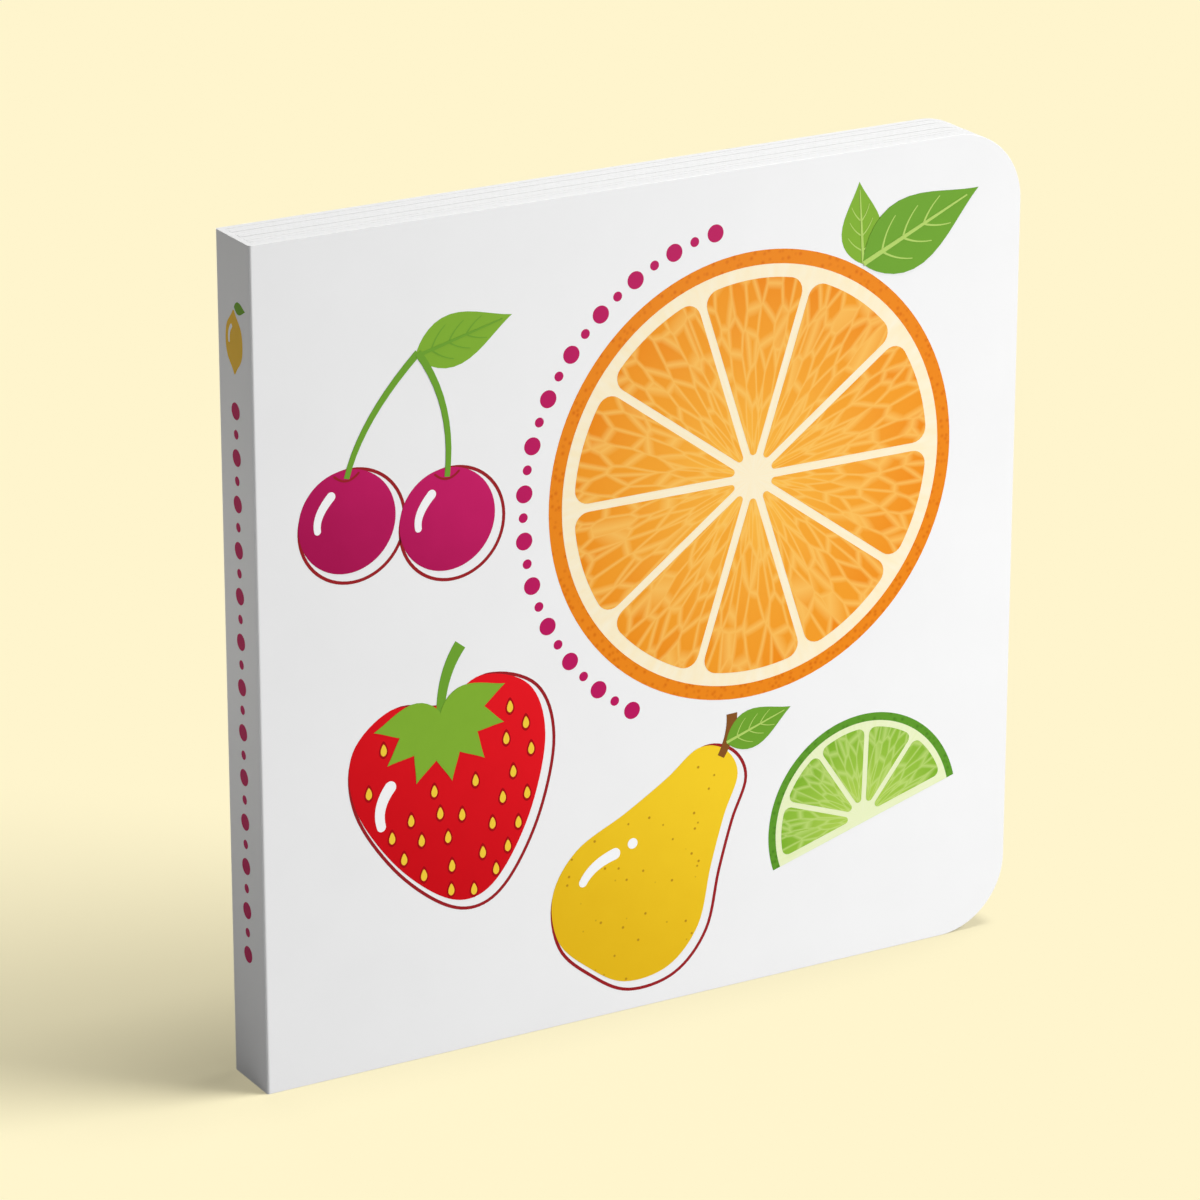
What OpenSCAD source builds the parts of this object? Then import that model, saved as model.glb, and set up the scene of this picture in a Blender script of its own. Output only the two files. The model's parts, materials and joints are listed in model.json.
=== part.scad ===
// Square board book, standing on its tail edge with the spine on the left of the front cover.
// X runs from the spine to the fore-edge, Y from the front cover to the back cover, Z from tail to head.
// The origin is the middle of the tail edge.

/* [Book] */
// Width of the closed book, from the face of the spine to the fore-edge
book_w = 152; // [110:1:220]
// Height of the book, from tail to head
book_h = 152; // [110:1:220]
// Radius of the two round corners at the fore-edge
corner_r = 13.5; // [5:0.5:25]

/* [Cover] */
// Thickness of the laminated board that wraps the book as front cover, spine and back cover
board_t = 1.25; // [0.8:0.05:2]
// Outer radius of the two folds along the spine
fold_r = 0.6; // [0.2:0.05:0.8]
// Gap across the scored mitre inside each fold
score_gap = 0.03; // [0.02:0.01:0.1]
// Gap between a closed cover and the leaf that it lies on
cover_gap = 0.1; // [0.05:0.05:0.3]

/* [Leaves] */
// Number of board leaves between the covers
leaf_count = 9; // [5:2:15]
// Thickness of one leaf
leaf_t = 1; // [0.6:0.05:2]
// Width of the gap that shows between two leaves along the trimmed edges
leaf_gap = 0.1; // [0.05:0.01:0.2]
// Depth of that gap, where the leaves press together
leaf_gap_depth = 1; // [0.5:0.1:3]

/* [Hidden] */
$fn = 96;

// Thickness of the leaves together, and of the closed book
leaf_pitch = leaf_t + leaf_gap;
block_t = leaf_count * leaf_pitch - leaf_gap;
book_t = block_t + 2 * (cover_gap + board_t);

// Faces of the closed book
spine_x = -book_w / 2;
fore_edge_x = book_w / 2;
front_y = -book_t / 2;
block_front_y = front_y + board_t + cover_gap;

// How far each mitred face stands off the diagonal of the fold, along X or Y
score_offset = score_gap / sqrt(2);
// How far a shape runs past the faces that another one trims
past = 1;
// Length of the wrapped board from the spine's face, before the trim at the fore-edge
wrap_reach = book_w + past;

// Trimmed outline seen from the front, in X and Z: round at the fore-edge, and open past the spine.
// An inset outline lies that far inside the head, tail and fore-edge.
module trim_outline(inset = 0) {
    left = spine_x - past;
    right = fore_edge_x - inset;
    tail = inset;
    head = book_h - inset;
    r = corner_r - inset;
    translate([left, tail]) square([right - r - left, head - tail]);
    translate([left, tail + r]) square([right - left, head - tail - 2 * r]);
    for (z = [tail + r, head - r]) translate([right - r, z]) circle(r);
}

// A sheet cut to the shape of its children, standing upright with its front face at the given Y
module upright_sheet(y, thickness) {
    translate([0, y + thickness, 0]) rotate([90, 0, 0]) linear_extrude(thickness) children();
}

// All that lies inside the three-sided trim of the book
module trim_prism() {
    upright_sheet(front_y - past, book_t + 2 * past) trim_outline();
}

// Plan of the wrapped board from above, as one block with its two folds rounded, measured from
// the corner where the planes of the spine and the front cover meet
module wrap_plan() {
    translate([fold_r, 0]) square([wrap_reach - fold_r, book_t]);
    translate([0, fold_r]) square([wrap_reach, book_t - 2 * fold_r]);
    for (y = [fold_r, book_t - fold_r]) translate([fold_r, y]) circle(fold_r);
}

// The stretch of the wrapped board inside a plan outline, as high as the book
module wrap_panel(plan) {
    translate([spine_x, front_y, 0]) linear_extrude(book_h) intersection() {
        wrap_plan();
        polygon(plan);
    }
}

// Front cover: it ends at the fold in a mitre, so that it can swing right round the crease
module cover_panel() {
    plan = [
        [score_offset, 0],
        [wrap_reach, 0],
        [wrap_reach, board_t],
        [board_t + score_offset, board_t]
    ];
    intersection() {
        wrap_panel(plan);
        trim_prism();
    }
}

module front_cover() {
    color("white") cover_panel();
}

module back_cover() {
    color("white") mirror([0, 1, 0]) cover_panel();
}

// Spine: the strip between the two folds, mitred to both covers and glued to the leaves
module spine() {
    mitre_end = board_t + score_offset;
    plan = [
        [0, score_offset],
        [board_t, mitre_end],
        [board_t, book_t - mitre_end],
        [0, book_t - score_offset]
    ];
    color("gainsboro") wrap_panel(plan);
}

// Gap between two leaves, open at the head, tail and fore-edge
module leaf_opening() {
    difference() {
        translate([spine_x, -past]) square([book_w + past, book_h + 2 * past]);
        trim_outline(leaf_gap_depth);
    }
}

// Leaves: folded boards glued back to back and held together at the spine
module page_block() {
    color("ivory") difference() {
        intersection() {
            translate([spine_x + board_t, block_front_y, -past]) cube([book_w, block_t, book_h + 2 * past]);
            trim_prism();
        }
        for (leaf = [1 : leaf_count - 1]) {
            upright_sheet(block_front_y + leaf * leaf_pitch - leaf_gap, leaf_gap) leaf_opening();
        }
    }
}

front_cover();
back_cover();
spine();
page_block();
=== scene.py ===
# A square board book standing on its tail edge: nine board leaves inside one wrapped cover of
# film-laminated board, with round corners at the fore-edge and fruit printed on the white cover.
import json
import math
import random

import bmesh
import bpy
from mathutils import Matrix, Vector

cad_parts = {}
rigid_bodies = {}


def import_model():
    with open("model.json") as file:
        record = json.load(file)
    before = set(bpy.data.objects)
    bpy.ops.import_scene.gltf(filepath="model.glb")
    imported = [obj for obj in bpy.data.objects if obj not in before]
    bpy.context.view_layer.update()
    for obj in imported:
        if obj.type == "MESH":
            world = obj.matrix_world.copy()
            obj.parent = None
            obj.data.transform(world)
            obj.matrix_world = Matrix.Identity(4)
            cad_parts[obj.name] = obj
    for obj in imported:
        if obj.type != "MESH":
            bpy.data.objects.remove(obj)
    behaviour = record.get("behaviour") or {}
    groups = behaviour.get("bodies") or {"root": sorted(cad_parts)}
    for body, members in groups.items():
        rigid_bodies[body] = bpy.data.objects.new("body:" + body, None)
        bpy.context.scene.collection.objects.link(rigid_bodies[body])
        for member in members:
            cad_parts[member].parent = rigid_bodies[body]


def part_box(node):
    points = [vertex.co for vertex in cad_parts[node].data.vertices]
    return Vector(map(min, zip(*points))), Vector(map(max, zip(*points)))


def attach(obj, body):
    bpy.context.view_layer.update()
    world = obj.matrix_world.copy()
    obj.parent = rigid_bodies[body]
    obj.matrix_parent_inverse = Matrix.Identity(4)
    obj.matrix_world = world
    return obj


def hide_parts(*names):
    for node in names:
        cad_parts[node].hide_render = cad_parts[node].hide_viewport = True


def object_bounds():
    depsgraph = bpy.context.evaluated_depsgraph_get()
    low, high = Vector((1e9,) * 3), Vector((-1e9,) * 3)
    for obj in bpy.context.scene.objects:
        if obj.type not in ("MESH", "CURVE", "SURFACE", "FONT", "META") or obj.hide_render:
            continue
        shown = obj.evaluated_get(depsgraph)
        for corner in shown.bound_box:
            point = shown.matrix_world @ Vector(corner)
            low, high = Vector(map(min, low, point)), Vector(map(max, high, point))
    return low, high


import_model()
cad_low, cad_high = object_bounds()


# Leaves
# Nine leaves of white board, glued back to back and trimmed together on three sides after gluing.
# The guillotine leaves a fine gap between neighbours and a barely rounded edge on each of them.
MM = 0.001
leaves_low, leaves_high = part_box("page_block")
spine_x = cad_low.x
fore_edge_x = cad_high.x
book_h = cad_high.z
corner_r = 13.5 * MM
corner_steps = 24
leaf_count = 9
leaf_gap = 0.1 * MM
leaf_gap_depth = 1.0 * MM
leaf_t = (leaves_high.y - leaves_low.y + leaf_gap) / leaf_count - leaf_gap
leaf_edge_r = 0.12 * MM
trim_slack = 0.05 * MM
edge_steps = 3
sharp_angle = math.radians(40)


def trim_ring(y, inset, left):
    """The trimmed outline at depth y, set in from head, tail and fore-edge, from the spine side round."""
    r = corner_r - inset
    right = fore_edge_x - inset - r
    ring = [Vector((left, y, inset))]
    for corner_z, start in ((inset + r, -90), (book_h - inset - r, 0)):
        for step in range(corner_steps + 1):
            angle = math.radians(start + 90 * step / corner_steps)
            ring.append(Vector((right + r * math.cos(angle), y, corner_z + r * math.sin(angle))))
    ring.append(Vector((left, y, book_h - inset)))
    return ring


def skin(name, rings, materials, slot_of):
    """A closed piece through a stack of rings; slot_of picks the material slot of each band's quad."""
    bm = bmesh.new()
    rows = [[bm.verts.new(point) for point in ring] for ring in rings]
    for band, (low, high) in enumerate(zip(rows, rows[1:])):
        for side in range(len(low)):
            after = (side + 1) % len(low)
            face = bm.faces.new((low[side], low[after], high[after], high[side]))
            face.material_index = slot_of(band, side)
    bm.faces.new(rows[0])
    bm.faces.new(rows[-1])
    bmesh.ops.recalc_face_normals(bm, faces=bm.faces)
    for face in bm.faces:
        face.smooth = True
    mesh = bpy.data.meshes.new(name)
    bm.to_mesh(mesh)
    bm.free()
    mesh.set_sharp_from_angle(angle=sharp_angle)
    for material in materials:
        mesh.materials.append(material)
    piece = bpy.data.objects.new(name, mesh)
    bpy.context.scene.collection.objects.link(piece)
    weighted = piece.modifiers.new("flat faces stay flat", "WEIGHTED_NORMAL")
    weighted.weight = 100
    weighted.keep_sharp = True
    return piece


def edge_round(steps, radius):
    """Depth and inset of each point on a quarter round, from the face to the trimmed side."""
    turns = [math.pi / 2 * step / steps for step in range(steps + 1)]
    return [(radius * (1 - math.cos(turn)), radius * (1 - math.sin(turn))) for turn in turns]


def linear(hex_colour):
    """Linear RGBA of an sRGB hex colour."""
    parts = [int(hex_colour[i:i + 2], 16) / 255 for i in (1, 3, 5)]
    return [c / 12.92 if c <= 0.04045 else ((c + 0.055) / 1.055) ** 2.4 for c in parts] + [1.0]


def add(tree, kind, settings=None, links=None):
    """Adds a node to a tree, with its properties or input values set and its inputs linked."""
    node = tree.nodes.new(kind)
    for key, value in (settings or {}).items():
        if isinstance(key, str) and hasattr(node, key):
            setattr(node, key, value)
        else:
            node.inputs[key].default_value = value
    for key, source in (links or {}).items():
        tree.links.new(source, node.inputs[key])
    return node


def surface(name):
    """A new material with its node tree, Principled shader and Object coordinates in metres."""
    material = bpy.data.materials.new(name)
    material.use_nodes = True
    tree = material.node_tree
    shader = tree.nodes["Principled BSDF"]
    place = add(tree, "ShaderNodeTexCoord").outputs["Object"]
    return material, tree, shader, place


# Uncoated board, cut by a guillotine: matt and white, a trace warmer in its darker fibres, which run
# lengthwise in the plies along the cut.
trimmed_board, tree, shader, place = surface("trimmed white board")
ply_t = 0.16 * MM
fibre_length = 5 * MM
fibre_relief = 0.02 * MM
along_cut = add(tree, "ShaderNodeMapping",
                {"Scale": (1 / fibre_length, 1 / ply_t, 1 / fibre_length)}, {"Vector": place})
fibre = add(tree, "ShaderNodeTexNoise", {"Scale": 1.0, "Detail": 3.0}, {"Vector": along_cut.outputs[0]})
tint = add(tree, "ShaderNodeMix", {"data_type": "RGBA", "A": linear("#F0F0EF"), "B": linear("#F7F7F7")},
           {"Factor": fibre.outputs["Fac"]})
relief = add(tree, "ShaderNodeBump", {"Strength": 0.12, "Distance": fibre_relief},
             {"Height": fibre.outputs["Fac"]})
tree.links.new(tint.outputs["Result"], shader.inputs["Base Color"])
tree.links.new(relief.outputs["Normal"], shader.inputs["Normal"])
shader.inputs["Roughness"].default_value = 0.8

# Clay-coated white board under a clear matt film: hardly any shine, with the faint mottle of the
# coating and the waviness that the film takes from the board below.
film_wave = 2.2 * MM
film_relief = 0.006 * MM
film_shine = 0.03


def film(tree, shader, place):
    """Finishes a shader as board or ink below the same matt film."""
    wave = add(tree, "ShaderNodeTexNoise", {"Scale": 1 / film_wave, "Detail": 2.0}, {"Vector": place})
    sheen = add(tree, "ShaderNodeMapRange", {"To Min": 0.30, "To Max": 0.38},
                {"Value": wave.outputs["Fac"]})
    relief = add(tree, "ShaderNodeBump", {"Strength": 0.3, "Distance": film_relief},
                 {"Height": wave.outputs["Fac"]})
    tree.links.new(sheen.outputs["Result"], shader.inputs["Roughness"])
    tree.links.new(relief.outputs["Normal"], shader.inputs["Normal"])
    shader.inputs["Specular IOR Level"].default_value = film_shine


laminated_board, tree, shader, place = surface("film laminated white board")
mottle_size = 14 * MM
mottle = add(tree, "ShaderNodeTexNoise", {"Scale": 1 / mottle_size, "Detail": 4.0}, {"Vector": place})
tint = add(tree, "ShaderNodeMix", {"data_type": "RGBA", "A": linear("#F3F3F3"), "B": linear("#F8F8F8")},
           {"Factor": mottle.outputs["Fac"]})
tree.links.new(tint.outputs["Result"], shader.inputs["Base Color"])
film(tree, shader, place)

# Rings from the first leaf's face to the last one's, down into each gap and up again. The bands
# across a leaf's own rings are its cut edge.
slack = random.Random(9)
quarter = edge_round(edge_steps, leaf_edge_r)
leaf_rings = []
cut_bands = set()
for leaf in range(leaf_count):
    front = leaves_low.y + leaf * (leaf_t + leaf_gap)
    own_inset = slack.uniform(0, trim_slack)
    if leaf > 0:
        leaf_rings.append((front, leaf_gap_depth))
    first = len(leaf_rings)
    leaf_rings += [(front + depth, own_inset + inset) for depth, inset in quarter]
    leaf_rings += [(front + leaf_t - depth, own_inset + inset) for depth, inset in reversed(quarter)]
    cut_bands.update(range(first, len(leaf_rings) - 1))
    if leaf < leaf_count - 1:
        leaf_rings.append((front + leaf_t, leaf_gap_depth))

leaves = skin(
    "leaves",
    [trim_ring(y, inset, leaves_low.x) for y, inset in leaf_rings],
    [laminated_board, trimmed_board],
    lambda band, side: 1 if band in cut_bands else 0,
)
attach(leaves, "book_block")
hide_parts("page_block")


# Wrapped cover
# One sheet of laminated board, scored twice and folded round the leaves, so that the front cover,
# spine and back cover meet in two soft folds. Each fold is mitred inside and swings on its crease.
board_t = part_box("front_cover")[1].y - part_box("front_cover")[0].y
front_y = cad_low.y
back_y = cad_high.y
fold_r = 0.6 * MM
fold_steps = 6
score_gap = 0.03 * MM
board_edge_r = 0.12 * MM


def fold_edge(depth):
    """How far the board stands in from the corner of the fold, that deep below its outer face."""
    mitre = depth + score_gap / math.sqrt(2)
    if depth >= fold_r:
        return mitre
    return max(mitre, fold_r - math.sqrt(fold_r ** 2 - (fold_r - depth) ** 2))


def edge_inset(depth):
    """How far a trimmed edge stands in, that deep below the outer face."""
    from_face = min(depth, board_t - depth)
    if from_face >= board_edge_r:
        return 0.0
    return board_edge_r - math.sqrt(board_edge_r ** 2 - (board_edge_r - from_face) ** 2)


outer_round = [depth for depth, inset in edge_round(edge_steps, board_edge_r)]
fold_round = [fold_r * (1 - math.cos(math.pi / 4 * step / fold_steps)) for step in range(fold_steps + 1)]
board_depths = sorted(set(outer_round + fold_round + [board_t - depth for depth in outer_round]))
fold_side = len(trim_ring(0, 0, 0)) - 1
cover_finish = [laminated_board, trimmed_board]

for name, outer_y, inward in (("front_cover", front_y, 1), ("back_cover", back_y, -1)):
    cover = skin(
        name + "_board",
        [trim_ring(outer_y + inward * depth, edge_inset(depth), spine_x + fold_edge(depth))
         for depth in board_depths],
        cover_finish,
        lambda band, side: 0 if side == fold_side else 1,
    )
    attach(cover, name)
    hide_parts(name)


def spine_ring(depth):
    """The outline of the spine that deep below its outer face."""
    x = spine_x + depth
    inset = edge_inset(depth)
    front = front_y + fold_edge(depth)
    back = back_y - fold_edge(depth)
    return [Vector((x, front, inset)), Vector((x, back, inset)),
            Vector((x, back, book_h - inset)), Vector((x, front, book_h - inset))]


spine = skin("spine_board", [spine_ring(depth) for depth in board_depths], cover_finish,
             lambda band, side: 0 if side in (1, 3) else 1)
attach(spine, "book_block")
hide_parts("spine")


# Citrus slices
# A whole orange slice and half a lime slice, printed in ink on the front cover below its film.
# Each is a rind, a ring of pith and the wedges of flesh, which lie round the slice's middle.
ink_t = 0.02 * MM


def spot(u, v, tilt=0.0):
    """Places a drawing's own millimetres on the front cover, round a point u from the spine and v up."""
    turn = math.radians(tilt)

    def place(x, y, lift):
        across = u + x * math.cos(turn) - y * math.sin(turn)
        up = v + x * math.sin(turn) + y * math.cos(turn)
        return Vector((spine_x + across * MM, front_y - lift, up * MM))

    return place


def unplaced(x, y, lift):
    """A drawing's own millimetres round the origin, for shapes that are repeated later."""
    return Vector((x * MM, -lift, y * MM))


def arc(radius, start, end, steps, x=0.0, y=0.0):
    """Points of an arc, with its angles in degrees."""
    turns = [math.radians(start + (end - start) * step / steps) for step in range(steps + 1)]
    return [(x + radius * math.cos(turn), y + radius * math.sin(turn)) for turn in turns]


def ring_of(points):
    """An outline without a repeated last point."""
    return points[:-1] if math.dist(points[0], points[-1]) < 1e-6 else points


def field(bm, place, outline, layer, slot=0):
    """Adds a closed field of ink with that outline, from the board up through the layers below it."""
    low = [bm.verts.new(place(x, y, 0.0)) for x, y in outline]
    high = [bm.verts.new(place(x, y, layer * ink_t)) for x, y in outline]
    faces = [bm.faces.new(low), bm.faces.new(high)]
    for side in range(len(outline)):
        after = (side + 1) % len(outline)
        faces.append(bm.faces.new((low[side], low[after], high[after], high[side])))
    for face in faces:
        face.material_index = slot


def printed(name, bm, materials):
    """Turns a drawing into a piece."""
    bmesh.ops.recalc_face_normals(bm, faces=bm.faces)
    mesh = bpy.data.meshes.new(name)
    bm.to_mesh(mesh)
    bm.free()
    for material in materials:
        mesh.materials.append(material)
    piece = bpy.data.objects.new(name, mesh)
    bpy.context.scene.collection.objects.link(piece)
    return piece


def on_cover(piece):
    """Lets a printed piece swing with the front cover."""
    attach(piece, "front_cover")


def node_tree(name, inputs):
    """An empty Geometry Nodes tree with named inputs; also returns its inputs and its output node."""
    group = bpy.data.node_groups.new(name, "GeometryNodeTree")
    group.interface.new_socket("Geometry", in_out="INPUT", socket_type="NodeSocketGeometry")
    for label, kind in inputs:
        group.interface.new_socket(label, in_out="INPUT", socket_type=kind)
    group.interface.new_socket("Geometry", in_out="OUTPUT", socket_type="NodeSocketGeometry")
    return group, group.nodes.new("NodeGroupInput").outputs, group.nodes.new("NodeGroupOutput")


def grow(piece, group, values):
    """Runs a tree on a piece with its inputs set by name, and keeps the result as the piece's mesh."""
    modifier = piece.modifiers.new(group.name, "NODES")
    modifier.node_group = group
    for item in group.interface.items_tree:
        if item.in_out == "INPUT" and item.name in values:
            modifier[item.identifier] = values[item.name]
    bpy.context.view_layer.update()
    evaluated = piece.evaluated_get(bpy.context.evaluated_depsgraph_get())
    mesh = bpy.data.meshes.new_from_object(evaluated)
    piece.modifiers.remove(modifier)
    piece.data = mesh
    mesh.name = piece.name


# Copies of one wedge or sepal, turned about the line through a point straight out of the cover.
# Sepals lie over each other, so each copy also rises a little above the one before it.
around, given, result = node_tree("around a middle", [
    ("Count", "NodeSocketInt"), ("Middle", "NodeSocketVector"), ("Start", "NodeSocketFloat"),
    ("Step", "NodeSocketFloat"), ("Rise", "NodeSocketFloat"), ("Material", "NodeSocketMaterial")])
index = add(around, "GeometryNodeInputIndex")
risen = add(around, "ShaderNodeMath", {"operation": "MULTIPLY"}, {0: index.outputs[0], 1: given["Rise"]})
outward = add(around, "ShaderNodeCombineXYZ", links={"Y": risen.outputs[0]})
seat = add(around, "ShaderNodeVectorMath", {"operation": "SUBTRACT"},
           {0: given["Middle"], 1: outward.outputs[0]})
points = add(around, "GeometryNodePoints", links={"Count": given["Count"], "Position": seat.outputs[0]})
turned = add(around, "ShaderNodeMath", {"operation": "MULTIPLY_ADD"},
             {0: index.outputs[0], 1: given["Step"], 2: given["Start"]})
clockwise = add(around, "ShaderNodeMath", {"operation": "MULTIPLY", 1: -1.0}, {0: turned.outputs[0]})
rotation = add(around, "ShaderNodeCombineXYZ", links={"Y": clockwise.outputs[0]})
copies = add(around, "GeometryNodeInstanceOnPoints", links={
    "Points": points.outputs[0], "Instance": given["Geometry"], "Rotation": rotation.outputs[0]})
solid = add(around, "GeometryNodeRealizeInstances", links={"Geometry": copies.outputs[0]})
inked = add(around, "GeometryNodeSetMaterial",
            links={"Geometry": solid.outputs[0], "Material": given["Material"]})
around.links.new(inked.outputs[0], result.inputs["Geometry"])


def drawn_at(tree, place, u, v):
    """Object coordinates turned into millimetres from a point of the front cover."""
    middle = spot(u, v)(0, 0, 0) / MM
    flat = add(tree, "ShaderNodeMapping", {
        "Scale": (1 / MM, 0, 1 / MM), "Location": (-middle.x, 0, -middle.z)}, {"Vector": place})
    return flat.outputs[0]


def polar(tree, drawn, turns_per_round, length):
    """Coordinates that run round and along the radius, for grain that points at the middle."""
    split = add(tree, "ShaderNodeSeparateXYZ", links={0: drawn})
    angle = add(tree, "ShaderNodeMath", {"operation": "ARCTAN2"},
                {0: split.outputs["Z"], 1: split.outputs["X"]})
    across = add(tree, "ShaderNodeMath", {"operation": "MULTIPLY", 1: turns_per_round / math.tau},
                 {0: angle.outputs[0]})
    radius = add(tree, "ShaderNodeVectorMath", {"operation": "LENGTH"}, {0: drawn})
    along = add(tree, "ShaderNodeMath", {"operation": "DIVIDE", 1: length}, {0: radius.outputs["Value"]})
    grain = add(tree, "ShaderNodeCombineXYZ", links={"X": across.outputs[0], "Y": along.outputs[0]})
    return grain.outputs[0], radius.outputs["Value"]


def rind_ink(fruit, colours):
    """Rind cut across, with the darker dots of its oil glands."""
    ink, tree, shader, place = surface(fruit + " rind ink")
    gland_pitch = 1.1 * MM
    gland_share = 0.45
    glands = add(tree, "ShaderNodeTexVoronoi", {"Scale": 1 / gland_pitch}, {"Vector": place})
    outside = add(tree, "ShaderNodeMapRange", {"From Max": gland_share},
                  {"Value": glands.outputs["Distance"]})
    tint = add(tree, "ShaderNodeMix", {
        "data_type": "RGBA", "A": linear(colours["gland"]), "B": linear(colours["rind"])},
        {"Factor": outside.outputs[0]})
    tree.links.new(tint.outputs["Result"], shader.inputs["Base Color"])
    film(tree, shader, place)
    return ink


def pith_ink(fruit, u, v, colours):
    """Pale pith, with fine fibres that point at the middle."""
    ink, tree, shader, place = surface(fruit + " pith ink")
    fibres_per_round = 150
    fibre_length = 6.0
    grain = polar(tree, drawn_at(tree, place, u, v), fibres_per_round, fibre_length)[0]
    fibre = add(tree, "ShaderNodeTexNoise", {"Scale": 1.0, "Detail": 2.0}, {"Vector": grain})
    tint = add(tree, "ShaderNodeMix", {
        "data_type": "RGBA", "A": linear(colours["pith"]), "B": linear(colours["fibre"])},
        {"Factor": fibre.outputs["Fac"]})
    tree.links.new(tint.outputs["Result"], shader.inputs["Base Color"])
    film(tree, shader, place)
    return ink


def flesh_ink(fruit, u, v, flesh_r, sacks_per_round, sack_length, colours):
    """Flesh of long juice sacks, each with its own tone and a pale wall, paler towards the core."""
    ink, tree, shader, place = surface(fruit + " flesh ink")
    own_tone = 0.75
    wall_share = 0.16
    wall_depth = 0.35
    grain, radius = polar(tree, drawn_at(tree, place, u, v), sacks_per_round, sack_length)
    outward = add(tree, "ShaderNodeMapRange", {"From Min": 0.1 * flesh_r, "From Max": flesh_r},
                  {"Value": radius})
    body = add(tree, "ShaderNodeMix", {
        "data_type": "RGBA", "A": linear(colours["core"]), "B": linear(colours["flesh"])},
        {"Factor": outward.outputs[0]})
    sacks = add(tree, "ShaderNodeTexVoronoi", {"feature": "SMOOTH_F1", "Scale": 1.0, "Smoothness": 0.3},
                {"Vector": grain})
    tone = add(tree, "ShaderNodeSeparateColor", links={"Color": sacks.outputs["Color"]})
    own_share = add(tree, "ShaderNodeMath", {"operation": "MULTIPLY", 1: own_tone},
                    {0: tone.outputs["Red"]})
    toned = add(tree, "ShaderNodeMix", {"data_type": "RGBA", "B": linear(colours["sack"])},
                {"Factor": own_share.outputs[0], "A": body.outputs["Result"]})
    walls = add(tree, "ShaderNodeTexVoronoi", {"feature": "DISTANCE_TO_EDGE", "Scale": 1.0},
                {"Vector": grain})
    inside = add(tree, "ShaderNodeMapRange", {"From Max": wall_share, "To Min": wall_depth},
                 {"Value": walls.outputs["Distance"]})
    tint = add(tree, "ShaderNodeMix", {"data_type": "RGBA", "A": linear(colours["wall"])},
               {"Factor": inside.outputs[0], "B": toned.outputs["Result"]})
    tree.links.new(tint.outputs["Result"], shader.inputs["Base Color"])
    film(tree, shader, place)
    return ink


def wedge(outer_r, half_angle, skin_t, outer_round, tip_round):
    """Outline of a segment of flesh that points along +X, half a skin's thickness in from its sides."""
    reach = outer_r - outer_round
    corner = half_angle - math.degrees(math.asin((skin_t / 2 + outer_round) / reach))
    corner_x = reach * math.cos(math.radians(corner))
    corner_y = reach * math.sin(math.radians(corner))
    tip_x = (skin_t / 2 + tip_round) / math.sin(math.radians(half_angle))
    points = arc(outer_r, -corner, corner, 10)
    points += arc(outer_round, corner, half_angle + 90, 6, corner_x, corner_y)[1:]
    points += arc(tip_round, half_angle + 90, 270 - half_angle, 6, tip_x, 0.0)
    points += arc(outer_round, -half_angle - 90, -corner, 6, corner_x, -corner_y)
    return ring_of(points)


orange_u, orange_v, orange_r = 97.0, 96.0, 41.0
citrus = {
    "orange": {
        "u": orange_u, "v": orange_v, "tilt": 0.0, "sweep": 360.0, "segments": 10,
        "outer_r": orange_r, "rind_t": 2.6, "pith_t": 2.4, "skin_t": 1.5,
        "sacks_per_round": 70, "sack_length": 7.0,
        "colours": {"rind": "#F08A1C", "gland": "#DC6C0E", "pith": "#FFEBBB", "fibre": "#FFF8E2",
                    "core": "#FFC04A", "flesh": "#F18A16", "sack": "#F7A42E", "wall": "#FFCF6E"}},
    "lime": {
        "u": 121.0, "v": 27.0, "tilt": 16.0, "sweep": 180.0, "segments": 5,
        "outer_r": 20.0, "rind_t": 1.5, "pith_t": 1.2, "skin_t": 1.0,
        "sacks_per_round": 60, "sack_length": 4.5,
        "colours": {"rind": "#5F9A2E", "gland": "#4B8023", "pith": "#E6F0B4", "fibre": "#F3F8D6",
                    "core": "#BFDA5E", "flesh": "#7DB22E", "sack": "#97C342", "wall": "#CBE284"}},
}
for fruit, cut in citrus.items():
    u, v = cut["u"], cut["v"]
    here = spot(u, v, cut["tilt"])
    colours = cut["colours"]
    sweep = cut["sweep"]
    outer_r = cut["outer_r"]
    skin_t = cut["skin_t"]
    pith_r = outer_r - cut["rind_t"]
    flesh_r = pith_r - cut["pith_t"]
    # Half a slice is cut a skin's thickness past its middle, so that its straight side is pith.
    past_middle = skin_t if sweep < 360 else 0.0
    bm = bmesh.new()
    for radius, layer in ((outer_r, 1), (pith_r, 2)):
        dip = math.degrees(math.asin(past_middle / radius))
        field(bm, here, ring_of(arc(radius, -dip, sweep + dip, 120)), layer, layer - 1)
    ground_inks = [rind_ink(fruit, colours), pith_ink(fruit, u, v, colours)]
    on_cover(printed(fruit + "_slice_rind_and_pith", bm, ground_inks))

    step = sweep / cut["segments"]
    corner_round = 0.065 * outer_r
    tip_round = 0.7
    bm = bmesh.new()
    field(bm, unplaced, wedge(flesh_r, step / 2, skin_t, corner_round, tip_round), 3)
    flesh = flesh_ink(fruit, u, v, flesh_r, cut["sacks_per_round"], cut["sack_length"], colours)
    slice_flesh = printed(fruit + "_slice_flesh", bm, [flesh])
    grow(slice_flesh, around, {
        "Count": cut["segments"], "Middle": here(0, 0, 0), "Start": math.radians(cut["tilt"] + step / 2),
        "Step": math.radians(step), "Rise": 0.0, "Material": flesh})
    on_cover(slice_flesh)


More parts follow.
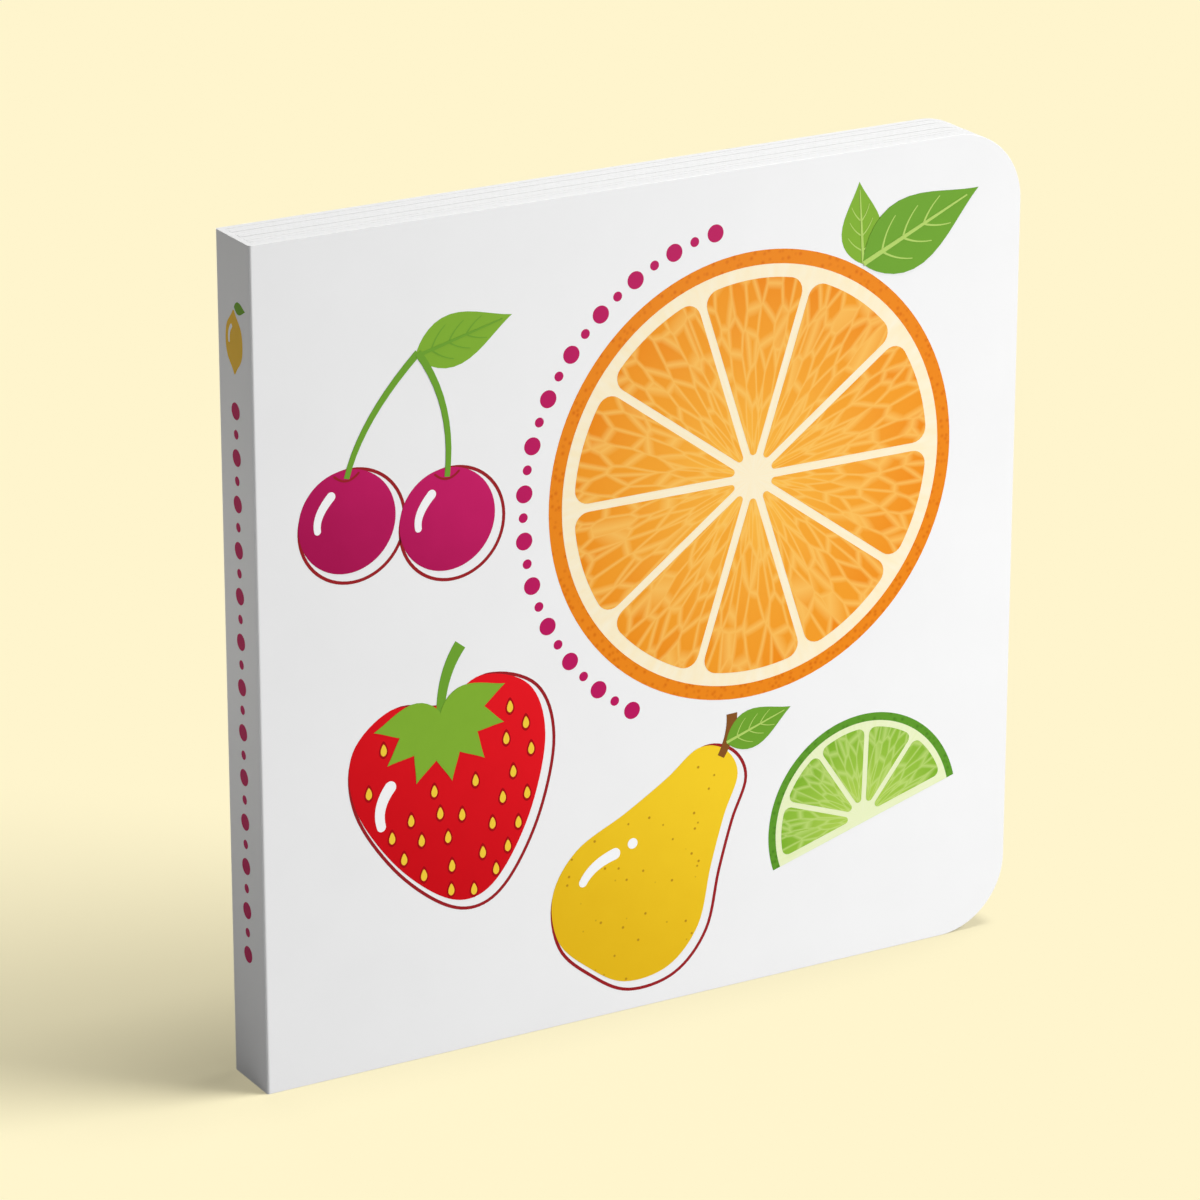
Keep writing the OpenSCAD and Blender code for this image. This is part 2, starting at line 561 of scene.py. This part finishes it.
# Orange leaves
# Two broad green leaves printed at the upper right of the orange slice, each with a pale midrib
# and the fine side veins that leave it.
def smooth_outline(knots, steps=8):
    """A closed smooth outline through a few points."""
    count = len(knots)
    points = []
    for i in range(count):
        a, b, c, d = (Vector(knots[(i + k - 1) % count]) for k in range(4))
        for step in range(steps):
            t = step / steps
            bend = (2 * a - 5 * b + 4 * c - d) + t * (3 * (b - c) + d - a)
            points.append(tuple(b + 0.5 * t * ((c - a) + t * bend)))
    return points


def bent_stroke(knots, widths, steps=10, end_steps=1):
    """Outline of a stroke from a to c that bends towards b, tapering from one width to the other.
    Its ends are square with one step and round with more."""
    a, b, c = (Vector(knot) for knot in knots)
    left, right = [], []
    for step in range(steps + 1):
        t = step / steps
        point = (1 - t) ** 2 * a + 2 * t * (1 - t) * b + t * t * c
        along = ((1 - t) * (b - a) + t * (c - b)).normalized()
        half = (widths[0] + (widths[1] - widths[0]) * t) / 2
        side = Vector((-along.y, along.x)) * half
        left.append(tuple(point + side))
        right.append(tuple(point - side))
    caps = []
    for end, width in ((c, widths[1]), (a, widths[0])):
        heading = math.degrees(math.atan2(end.y - b.y, end.x - b.x))
        caps.append(arc(width / 2, heading + 90, heading - 90, end_steps, end.x, end.y)[1:-1])
    return left + caps[0] + right[::-1] + caps[1]


def leaf_shape(length, width, steps=18):
    """Outline of a leaf along +X from the origin, fullest before its middle, with a drawn-out tip."""
    upper = []
    for step in range(1, steps):
        along = (1 - math.cos(math.pi * step / steps)) / 2
        half = width / 2 * math.sin(math.pi * along ** 0.75) * (1 - 0.35 * along ** 3)
        upper.append((along * length, half))
    return [(0.0, 0.0)] + upper + [(length, 0.0)] + [(x, -y) for x, y in reversed(upper)]


def plain_ink(name, hex_colour):
    """One flat ink, clouded a little as solid print is."""
    ink, tree, shader, place = surface(name)
    cloud_size = 3 * MM
    cloud = add(tree, "ShaderNodeTexNoise", {"Scale": 1 / cloud_size, "Detail": 3.0}, {"Vector": place})
    paler = [min(1.0, 1.06 * part) for part in linear(hex_colour)[:3]] + [1.0]
    tint = add(tree, "ShaderNodeMix", {"data_type": "RGBA", "A": linear(hex_colour), "B": paler},
               {"Factor": cloud.outputs["Fac"]})
    tree.links.new(tint.outputs["Result"], shader.inputs["Base Color"])
    film(tree, shader, place)
    return ink


def veined_leaf(bm, place, length, width, layer, leaf_slot=0):
    """Adds a leaf with its side veins and its midrib, which take the vein ink of slot 1."""
    field(bm, place, leaf_shape(length, width), layer, leaf_slot)
    for share in (0.16, 0.34, 0.52):
        for side in (1, -1):
            spread = side * width * (1.15 - share)
            root = (share * length, 0.0)
            bend = ((share + 0.07) * length, 0.22 * spread)
            tip = ((share + 0.19) * length, 0.34 * spread)
            vein = bent_stroke([root, bend, tip], (0.03 * width, 0.012 * width), 6)
            field(bm, place, vein, layer + 1 if side > 0 else layer + 2, 1)
    midrib = [(0.0, 0.0), (0.5 * length, 0.0), (0.9 * length, 0.0)]
    field(bm, place, bent_stroke(midrib, (0.07 * width, 0.02 * width)), layer + 3, 1)


leaf_ink = plain_ink("leaf green ink", "#6FA332")
fresh_ink = plain_ink("fresh green ink", "#82B034")
vein_ink = plain_ink("pale vein ink", "#B4D36A")
leaf_root = arc(orange_r + 0.8, 58, 58, 1)[0]
bm = bmesh.new()
for direction, length, width, layer, leaf_slot in ((94.0, 15.0, 8.5, 1, 2), (24.0, 26.0, 13.5, 5, 0)):
    leaf_spot = spot(orange_u + leaf_root[0], orange_v + leaf_root[1], direction)
    veined_leaf(bm, leaf_spot, length, width, layer, leaf_slot)
on_cover(printed("orange_leaves", bm, [leaf_ink, vein_ink, fresh_ink]))


# Strawberry
# Printed beside the slices: a red berry with yellow seeds in dark dimples, a green cap of sepals
# and a stalk, one white glint and a thin dark red line beside its lower right edge.
def mirrored(half):
    """A whole outline from its right half, which runs from the top middle to the bottom middle."""
    return half + [(-x, y) for x, y in reversed(half[1:-1])]


def scaled(outline, by, x=0.0, y=0.0):
    """An outline made larger or smaller about the origin and moved."""
    return [(x + by * px, y + by * py) for px, py in outline]


def grown(outline, by):
    """A smooth clockwise outline moved outwards by that much all round."""
    count = len(outline)
    points = []
    for i, (x, y) in enumerate(outline):
        along = (Vector(outline[(i + 1) % count]) - Vector(outline[i - 1])).normalized()
        points.append((x - by * along.y, y + by * along.x))
    return points


def contour(bm, place, outline, slot, tilt=0.0):
    """Adds a thin line that follows an outline to the lower right of the cover, a white gap away."""
    gap, width, shift = 0.5, 0.6, 1.3
    turn = math.radians(-45 - tilt)
    move_x, move_y = shift * math.cos(turn), shift * math.sin(turn)
    inner = scaled(grown(outline, gap), 1.0, move_x, move_y)
    outer = scaled(grown(outline, gap + width), 1.0, move_x, move_y)
    rows = [[bm.verts.new(place(x, y, lift)) for x, y in line]
            for line, lift in ((inner, 0.0), (inner, ink_t), (outer, ink_t), (outer, 0.0))]
    for low, high in zip(rows, rows[1:] + rows[:1]):
        for side in range(len(outline)):
            after = (side + 1) % len(outline)
            bm.faces.new((low[side], low[after], high[after], high[side])).material_index = slot


def glint_shape(knots, width):
    """Outline of a bent white highlight with round ends, a little fuller at its last end."""
    return bent_stroke(knots, (0.75 * width, width), end_steps=8)


def shaded_ink(name, u, v, reach, lit, deep, speck=None):
    """An ink that runs from a lit upper right to a deep lower left, with fine specks if it has any.
    Its clouds lift the slope by about 0.18 of the reach, so its ends are lifted as much."""
    ink, tree, shader, place = surface(name)
    cloud_size = 5 * MM
    slope = add(tree, "ShaderNodeVectorMath", {"operation": "DOT_PRODUCT", 1: (0.6, 0.0, 0.8)},
                {0: drawn_at(tree, place, u, v)})
    cloud = add(tree, "ShaderNodeTexNoise", {"Scale": 1 / cloud_size, "Detail": 3.0}, {"Vector": place})
    height = add(tree, "ShaderNodeMath", {"operation": "MULTIPLY_ADD", 1: 0.35 * reach},
                 {0: cloud.outputs["Fac"], 2: slope.outputs["Value"]})
    light = add(tree, "ShaderNodeMapRange", {
        "interpolation_type": "SMOOTHSTEP", "From Min": -0.82 * reach, "From Max": 1.18 * reach},
        {"Value": height.outputs[0]})
    tint = add(tree, "ShaderNodeMix", {"data_type": "RGBA", "A": linear(deep), "B": linear(lit)},
               {"Factor": light.outputs[0]})
    if speck:
        speck_pitch = 2.3 * MM
        speck_core, speck_rim = 0.08, 0.14
        dots = add(tree, "ShaderNodeTexVoronoi", {"Scale": 1 / speck_pitch}, {"Vector": place})
        outside = add(tree, "ShaderNodeMapRange", {"From Min": speck_core, "From Max": speck_rim},
                      {"Value": dots.outputs["Distance"]})
        tint = add(tree, "ShaderNodeMix", {"data_type": "RGBA", "A": linear(speck)},
                   {"Factor": outside.outputs[0], "B": tint.outputs["Result"]})
    tree.links.new(tint.outputs["Result"], shader.inputs["Base Color"])
    film(tree, shader, place)
    return ink


# Copies of one shape scattered over an outline, no nearer to each other than the spacing, and clear
# of the cap and the glint.
scatter, given, result = node_tree("scattered on an outline", [
    ("Shape", "NodeSocketObject"), ("Spacing", "NodeSocketFloat"), ("Seed", "NodeSocketInt"),
    ("Cap", "NodeSocketObject"), ("Glint", "NodeSocketObject"), ("Clearance", "NodeSocketFloat"),
    ("Material", "NodeSocketMaterial")])
spread = add(scatter, "GeometryNodeDistributePointsOnFaces",
             {"distribute_method": "POISSON", "Density Max": 1e6},
             {"Mesh": given["Geometry"], "Distance Min": given["Spacing"], "Seed": given["Seed"]})
kept = spread.outputs["Points"]
for avoided in ("Cap", "Glint"):
    other = add(scatter, "GeometryNodeObjectInfo", links={"Object": given[avoided]})
    nearest = add(scatter, "GeometryNodeProximity", links={0: other.outputs["Geometry"]})
    too_near = add(scatter, "FunctionNodeCompare", {"operation": "LESS_THAN"},
                   {0: nearest.outputs["Distance"], 1: given["Clearance"]})
    cleared = add(scatter, "GeometryNodeDeleteGeometry",
                  links={"Geometry": kept, "Selection": too_near.outputs[0]})
    kept = cleared.outputs[0]
shape = add(scatter, "GeometryNodeObjectInfo", links={"Object": given["Shape"]})
copies = add(scatter, "GeometryNodeInstanceOnPoints", links={
    "Points": kept, "Instance": shape.outputs["Geometry"]})
solid = add(scatter, "GeometryNodeRealizeInstances", links={"Geometry": copies.outputs[0]})
inked = add(scatter, "GeometryNodeSetMaterial",
            links={"Geometry": solid.outputs[0], "Material": given["Material"]})
scatter.links.new(inked.outputs[0], result.inputs["Geometry"])

berry_u, berry_v, berry_tilt = 37.0, 50.0, 10.0
berry_spot = spot(berry_u, berry_v, berry_tilt)
berry_outline = smooth_outline(mirrored(
    [(0, 15.5), (9, 18), (17.5, 13), (19, 3), (14, -9.5), (6.5, -19), (0, -22)]))
berry_ink = shaded_ink("strawberry red ink", berry_u, berry_v, 26.0, "#EC1722", "#CE0D18")
contour_ink = plain_ink("dark red contour ink", "#9A2227")
glint_ink = plain_ink("white glint ink", "#FBFBFB")
cap_y = 14.0
sepal_count = 7
sepal_step = 31.5
bm = bmesh.new()
contour(bm, berry_spot, berry_outline, 1, berry_tilt)
field(bm, berry_spot, berry_outline, 2, 0)
field(bm, berry_spot, bent_stroke([(0, cap_y), (1.5, 21), (6, 25)], (1.6, 2.4)), 3, 2)
on_cover(printed("strawberry", bm, [berry_ink, contour_ink, leaf_ink]))

bm = bmesh.new()
field(bm, berry_spot, glint_shape([(-14.8, -2.4), (-15.2, 1.4), (-11.8, 4.2)], 2.3), 3)
berry_glint = printed("strawberry_glint", bm, [glint_ink])
on_cover(berry_glint)

bm = bmesh.new()
field(bm, unplaced, leaf_shape(13.0, 6.4), 5)
sepals = printed("strawberry_cap", bm, [fresh_ink])
grow(sepals, around, {
    "Count": sepal_count, "Middle": berry_spot(0, cap_y, 0), "Start": math.radians(berry_tilt - 185),
    "Step": math.radians(sepal_step), "Rise": 0.1 * ink_t, "Material": fresh_ink})
on_cover(sepals)

seed_drop = smooth_outline(mirrored([(0, 1.2), (0.55, 0.2), (0.5, -0.6), (0, -1.0)]), 3)
seed_ground = scaled(berry_outline, 0.84, y=-2.2)
seed_spacing = 4.4 * MM
seed_clearance = 1.7 * MM
for name, size, layer, hex_colour in (
        ("strawberry_dimples", 1.5, 3, "#A80A14"), ("strawberry_seeds", 1.0, 4, "#F7CF3E")):
    ink = plain_ink(name.replace("_", " ") + " ink", hex_colour)
    bm = bmesh.new()
    field(bm, unplaced, scaled(seed_drop, size), layer)
    one_seed = printed(name + "_shape", bm, [ink])
    bm = bmesh.new()
    bm.faces.new([bm.verts.new(berry_spot(x, y, 0)) for x, y in seed_ground])
    seeds = printed(name, bm, [ink])
    grow(seeds, scatter, {
        "Shape": one_seed, "Spacing": seed_spacing, "Seed": 77, "Cap": sepals, "Glint": berry_glint,
        "Clearance": seed_clearance, "Material": ink})
    bpy.data.objects.remove(one_seed)
    on_cover(seeds)


# Pear
# A yellow pear printed below the orange slice, leaning over, with fine brown freckles, a short
# stalk, a leaf, a white glint and the same dark red line as the strawberry.
pear_u, pear_v, pear_tilt = 77.0, 27.0, -38.0
pear_spot = spot(pear_u, pear_v, pear_tilt)
pear_outline = smooth_outline(mirrored(
    [(0, 24), (5.2, 21.6), (7.6, 14), (11.2, 5), (15.8, -5), (15, -14), (8.6, -20.4), (0, -21.6)]))
pear_ink = shaded_ink("pear yellow ink", pear_u, pear_v, 26.0, "#FAD22A", "#E8BA1C", "#BE8C1C")
stalk_ink = plain_ink("brown stalk ink", "#855226")
bm = bmesh.new()
contour(bm, pear_spot, pear_outline, 1, pear_tilt)
field(bm, pear_spot, pear_outline, 2, 0)
field(bm, pear_spot, bent_stroke([(0, 22.5), (-0.5, 27), (-3, 30)], (1.5, 2.2)), 3, 3)
field(bm, pear_spot, glint_shape([(-10.9, -9.3), (-11.4, -5.8), (-8.4, -2.0)], 2.2), 3, 2)
field(bm, pear_spot, ring_of(arc(1.0, 0, 360, 20, -6.3, 1.2)), 3, 2)
on_cover(printed("pear", bm, [pear_ink, contour_ink, glint_ink, stalk_ink]))

bm = bmesh.new()
veined_leaf(bm, spot(pear_u + 15.0, pear_v + 20.2, 18.0), 14.0, 7.5, 4)
on_cover(printed("pear_leaf", bm, [leaf_ink, vein_ink]))


# Cherries
# Two magenta cherries printed near the head, on green stalks that meet at the foot of a leaf. Each
# has a dimple, a white glint and the same dark red line as the strawberry.
cherry_u, cherry_v = 26.0, 111.0
cherry_r = 9.2
cherry_spot = spot(cherry_u, cherry_v)
cherry_outline = ring_of(arc(cherry_r, 360, 0, 60))
cherry_glint = [(-5.6, -0.8), (-6.1, 1.8), (-3.0, 4.9)]
cherry_dimple = [(-2.3, cherry_r - 0.9), (0.0, cherry_r - 3.1), (2.3, cherry_r - 0.9)]
cherry_ink = shaded_ink("cherry magenta ink", cherry_u, cherry_v - 10, 20.0, "#CC1E68", "#A8124F")
bm = bmesh.new()
for x, y, bend, layer in ((-8.8, -9.5, -6.0, 4), (10.3, -12.3, 12.0, 5)):
    stalk = [(x, y + cherry_r - 1.6), (bend, 8), (5, 18)]
    contour(bm, cherry_spot, scaled(cherry_outline, 1.0, x, y), 1)
    field(bm, cherry_spot, scaled(cherry_outline, 1.0, x, y), 2, 0)
    field(bm, cherry_spot, bent_stroke(scaled(cherry_dimple, 1.0, x, y), (0.4, 0.4), end_steps=4), 3, 1)
    field(bm, cherry_spot, bent_stroke(stalk, (1.0, 1.3)), layer, 3)
    field(bm, cherry_spot, glint_shape(scaled(cherry_glint, 1.0, x, y), 1.7), 3, 2)
on_cover(printed("cherries", bm, [cherry_ink, contour_ink, glint_ink, leaf_ink]))

bm = bmesh.new()
veined_leaf(bm, spot(cherry_u + 4.6, cherry_v + 17.4, 14.0), 19.0, 9.5, 1)
on_cover(printed("cherry_leaf", bm, [fresh_ink, leaf_ink]))


# Beads
# Magenta dots, large and small by turns, printed in an arc round the orange slice and in a line
# down the spine.
strung, given, result = node_tree("beads along a path", [
    ("Bead", "NodeSocketObject"), ("Count", "NodeSocketInt"), ("Small", "NodeSocketFloat"),
    ("Material", "NodeSocketMaterial")])
path = add(strung, "GeometryNodeMeshToCurve", links={"Mesh": given["Geometry"]})
spaced = add(strung, "GeometryNodeCurveToPoints", {"mode": "COUNT"},
             {"Curve": path.outputs[0], "Count": given["Count"]})
bead = add(strung, "GeometryNodeObjectInfo", links={"Object": given["Bead"]})
index = add(strung, "GeometryNodeInputIndex")
odd = add(strung, "ShaderNodeMath", {"operation": "MODULO", 1: 2.0}, {0: index.outputs[0]})
size = add(strung, "ShaderNodeMapRange", {"To Min": 1.0},
           {"Value": odd.outputs[0], "To Max": given["Small"]})
copies = add(strung, "GeometryNodeInstanceOnPoints", links={
    "Points": spaced.outputs["Points"], "Instance": bead.outputs["Geometry"], "Scale": size.outputs[0]})
solid = add(strung, "GeometryNodeRealizeInstances", links={"Geometry": copies.outputs[0]})
inked = add(strung, "GeometryNodeSetMaterial",
            links={"Geometry": solid.outputs[0], "Material": given["Material"]})
strung.links.new(inked.outputs[0], result.inputs["Geometry"])

bead_ink = plain_ink("magenta bead ink", "#BC1A5E")
small_bead = 0.55


def spine_spot(v):
    """Places a drawing's own millimetres on the spine, round a point of its middle line v up."""
    def place(x, y, lift):
        return Vector((spine_x - lift, -x * MM, (v + y) * MM))

    return place


def bead_string(name, face_of_bead, path_points, bead_r, count):
    """Beads along a row of points, the large ones of that radius and the small ones a share of it."""
    bm = bmesh.new()
    field(bm, face_of_bead, ring_of(arc(bead_r, 0, 360, 32)), 1)
    one_bead = printed(name + "_shape", bm, [bead_ink])
    bm = bmesh.new()
    stops = [bm.verts.new(point) for point in path_points]
    for pair in zip(stops, stops[1:]):
        bm.edges.new(pair)
    string = printed(name, bm, [bead_ink])
    grow(string, strung, {"Bead": one_bead, "Count": count, "Small": small_bead, "Material": bead_ink})
    bpy.data.objects.remove(one_bead)
    return string


garland_r = orange_r + 5.0
around_slice = spot(orange_u, orange_v)
garland_path = [around_slice(x, y, 0) for x, y in arc(garland_r, 100, 238, 60)]
on_cover(bead_string("garland", unplaced, garland_path, bead_r=1.6, count=27))

spine_path = [spine_spot(v)(0, 0, 0) for v in (24.0, 122.0)]
spine_beads = bead_string("spine_beads", lambda x, y, lift: Vector((-lift, -x * MM, y * MM)),
                          spine_path, bead_r=1.5, count=25)
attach(spine_beads, "book_block")


# Lemon
# A small golden lemon with a white glint and one green leaf, printed at the head of the spine above
# its beads.
lemon_spot = spine_spot(134.0)
lemon_outline = smooth_outline(mirrored(
    [(0, 5.6), (0.8, 4.7), (2.6, 2.6), (3.1, 0), (2.6, -2.6), (0.8, -4.7), (0, -5.6)]))
lemon_ink = plain_ink("golden lemon ink", "#F3C244")
bm = bmesh.new()
field(bm, lemon_spot, lemon_outline, 1, 0)
field(bm, lemon_spot, glint_shape([(-1.8, -0.2), (-2.0, 1.5), (-0.9, 2.6)], 0.7), 2, 1)
field(bm, lemon_spot, scaled(leaf_shape(4.0, 2.2), 1.0, 0.3, 6.2), 1, 2)
lemon = printed("spine_lemon", bm, [lemon_ink, glint_ink, leaf_ink])
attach(lemon, "book_block")


# Floor
# The book stands on a plain cream sheet of matt paper. The sheet gives off a little light of its own,
# so that it stays an even cream and the book's shadow on it stays pale.
floor_half = 6.0
floor_glow = 0.349
floor_mesh = bpy.data.meshes.new("floor")
floor_corners = [(-floor_half, -floor_half), (floor_half, -floor_half),
                 (floor_half, floor_half), (-floor_half, floor_half)]
floor_mesh.from_pydata([(x, y, 0) for x, y in floor_corners], [], [(0, 1, 2, 3)])
floor = bpy.data.objects.new("floor", floor_mesh)
bpy.context.scene.collection.objects.link(floor)

# Matt paper: cream to the eye and in a gloss, but a plain grey in the light that it throws back, so
# that the white board beside it takes no tint.
cream_sheet, tree, shader, place = surface("cream paper sweep")
ray = add(tree, "ShaderNodeLightPath")
seen = add(tree, "ShaderNodeMath", {"operation": "MAXIMUM"},
           {0: ray.outputs["Is Camera Ray"], 1: ray.outputs["Is Glossy Ray"]})
tint = add(tree, "ShaderNodeMix", {"data_type": "RGBA", "A": linear("#BABABA"), "B": linear("#FFF5CD")},
           {"Factor": seen.outputs[0]})
tree.links.new(tint.outputs["Result"], shader.inputs["Base Color"])
tree.links.new(tint.outputs["Result"], shader.inputs["Emission Color"])
shader.inputs["Emission Strength"].default_value = floor_glow
shader.inputs["Roughness"].default_value = 0.9
shader.inputs["Specular IOR Level"].default_value = 0.0
floor_mesh.materials.append(cream_sheet)


# Light and camera
# Soft studio light from the front right and above, with a fill for the back, which leaves the spine in
# shade. The sheet, the book and the spine have lamps of their own, kept to them by light linking.

# Of the book only the spine throws light back, so the white covers leave no bright patch on the sheet.
for piece in bpy.context.scene.objects:
    piece.visible_diffuse = piece in (floor, spine)

world = bpy.data.worlds.new("studio")
bpy.context.scene.world = world
world.use_nodes = True
world.node_tree.nodes["Background"].inputs["Strength"].default_value = 0.0

book_middle = Vector((0, 0, book_h / 2))
sun_distance = 2.0


def add_lamp(name, kind, azimuth, elevation, distance, energy):
    """A lamp that looks at the middle of the book, its azimuth counted from the front to the right."""
    turn, rise = math.radians(azimuth), math.radians(elevation)
    to_lamp = Vector((math.sin(turn) * math.cos(rise), -math.cos(turn) * math.cos(rise), math.sin(rise)))
    lamp = bpy.data.lights.new(name, kind)
    lamp.energy = energy
    holder = bpy.data.objects.new(name, lamp)
    holder.location = book_middle + distance * to_lamp
    holder.rotation_euler = (-to_lamp).to_track_quat("-Z", "Y").to_euler()
    bpy.context.scene.collection.objects.link(holder)
    return holder


# A sun has its role, azimuth, elevation, strength and the angle of its disc. A card has its role,
# azimuth, elevation, distance, power and the length of its side. Angles are degrees, lengths metres.
for name, link_state, linked, suns, cards in (
        ("floor light", "INCLUDE", (floor,),
         (("overhead", 70, 78, 0.87, 18), ("key", 62, 35, 2.08, 34)),
         ()),
        ("book light", "EXCLUDE", (floor,),
         (("overhead", 50, 85, 2.40, 40), ("key", 40, 25, 0.74, 20), ("back fill", 180, 1, 2.05, 8)),
         (("front card", 30, 0, 0.50, 1.28, 0.12), ("top card", 90, 75, 0.232, 0.048, 0.08))),
        ("spine light", "INCLUDE", (spine, spine_beads, lemon),
         (),
         (("left card", -98, 4, 0.145, 0.0043, 0.03),)),
):
    receivers = bpy.data.collections.new(name + " " + link_state.lower())
    for piece in linked:
        receivers.objects.link(piece)
    for item in receivers.collection_objects:
        item.light_linking.link_state = link_state
    lamps = []
    for role, azimuth, elevation, energy, angle in suns:
        lamps.append(add_lamp(name + " " + role, "SUN", azimuth, elevation, sun_distance, energy))
        lamps[-1].data.angle = math.radians(angle)
    for role, azimuth, elevation, distance, energy, size in cards:
        lamps.append(add_lamp(name + " " + role, "AREA", azimuth, elevation, distance, energy))
        lamps[-1].data.size = size
    for lamp in lamps:
        lamp.light_linking.receiver_collection = receivers

# The camera stands at the front left, above the book, with a long lens.
camera_data = bpy.data.cameras.new("camera")
camera_data.sensor_width = 36
camera_data.lens = 167.8
camera = bpy.data.objects.new("camera", camera_data)
camera.location = (-0.46553, -0.79425, 0.40817)
view_line = Vector((0.47072, 0.81400, -0.34034))
camera.rotation_euler = view_line.to_track_quat("-Z", "Y").to_euler()
bpy.context.scene.collection.objects.link(camera)
bpy.context.scene.camera = camera
bpy.context.scene.view_settings.view_transform = "Standard"
